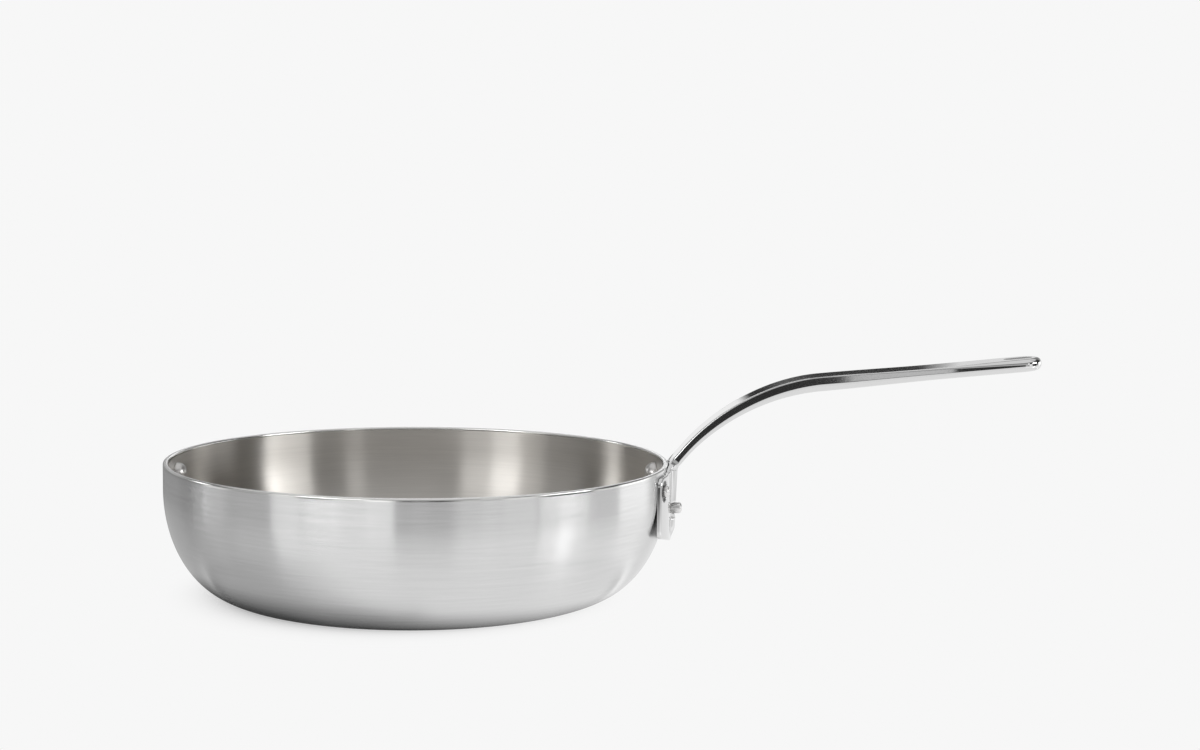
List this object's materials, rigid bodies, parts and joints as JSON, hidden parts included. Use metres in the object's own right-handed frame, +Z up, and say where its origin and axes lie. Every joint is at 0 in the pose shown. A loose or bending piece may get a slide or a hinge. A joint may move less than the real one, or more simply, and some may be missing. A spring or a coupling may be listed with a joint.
{
  "type": "deep saute pan",
  "caption": "Deep saute pan with a flat base, wide curved shoulder and upright brushed wall, and a polished cast handle that arches up from a riveted foot to a hanging eye.",
  "frame": {"origin": "centre of the flat base, on the surface that the pan stands on", "axes": "+Z up along the pan's axis, +X from the pan's axis towards the handle"},
  "size_m": [0.4896, 0.28, 0.1368],
  "materials": {
    "outer_steel": "satin, brushed round the pan",
    "core_aluminium": "plain, seen only at the rim edge",
    "inner_steel": "satin, brushed round the pan",
    "polished_steel": "mirror polished stainless steel",
    "rivet_steel": "bright stainless steel"
  },
  "bodies": {
    "root": {"outer_skin": "outer_steel", "aluminium_core": "core_aluminium", "inner_skin": "inner_steel", "handle": "polished_steel", "upper_rivet_near": "rivet_steel", "upper_rivet_far": "rivet_steel", "lower_rivet": "rivet_steel", "rear_rivet": "rivet_steel"}
  },
  "joints": []
}
